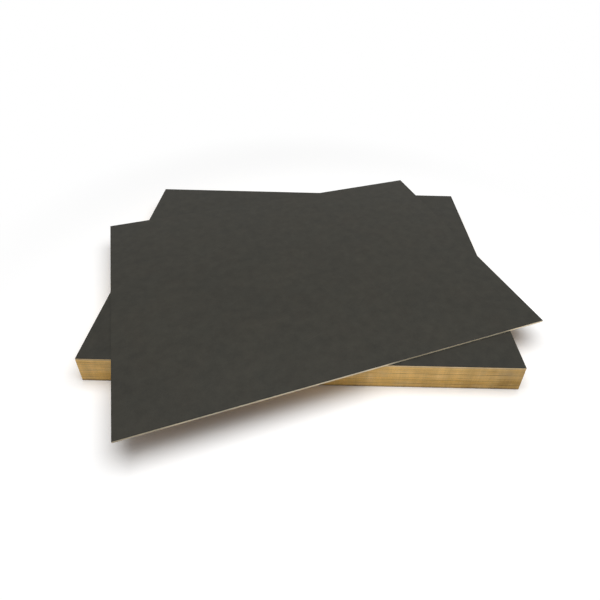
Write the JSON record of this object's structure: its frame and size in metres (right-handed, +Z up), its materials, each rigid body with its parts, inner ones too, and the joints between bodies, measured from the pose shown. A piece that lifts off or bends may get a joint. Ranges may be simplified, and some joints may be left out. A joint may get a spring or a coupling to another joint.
{
  "type": "stack of hardboard sheets",
  "caption": "Squared stack of thin rectangular hardboard sheets with dark coated faces and bare tan sawn edges, and one loose sheet lying turned on top.",
  "frame": {"origin": "middle of the stack's underside, on the floor", "axes": "+Z up, through the sheets' thickness; +X along the long sides of the stacked sheets; -Y towards the front"},
  "size_m": [0.7174, 0.6278, 0.0459],
  "materials": {
    "coated_hardboard": "smooth satin charcoal coating on the faces, bare tan pressed wood fibre on the sawn edges and brown underside"
  },
  "bodies": {
    "root": {"stacked_sheet_01": "coated_hardboard", "stacked_sheet_02": "coated_hardboard", "stacked_sheet_03": "coated_hardboard", "stacked_sheet_04": "coated_hardboard", "stacked_sheet_05": "coated_hardboard", "stacked_sheet_06": "coated_hardboard", "stacked_sheet_07": "coated_hardboard", "stacked_sheet_08": "coated_hardboard", "stacked_sheet_09": "coated_hardboard", "stacked_sheet_10": "coated_hardboard", "stacked_sheet_11": "coated_hardboard", "stacked_sheet_12": "coated_hardboard", "stacked_sheet_13": "coated_hardboard", "stacked_sheet_14": "coated_hardboard", "stacked_sheet_15": "coated_hardboard", "stacked_sheet_16": "coated_hardboard", "stacked_sheet_17": "coated_hardboard", "loose_sheet": "coated_hardboard"}
  },
  "joints": []
}
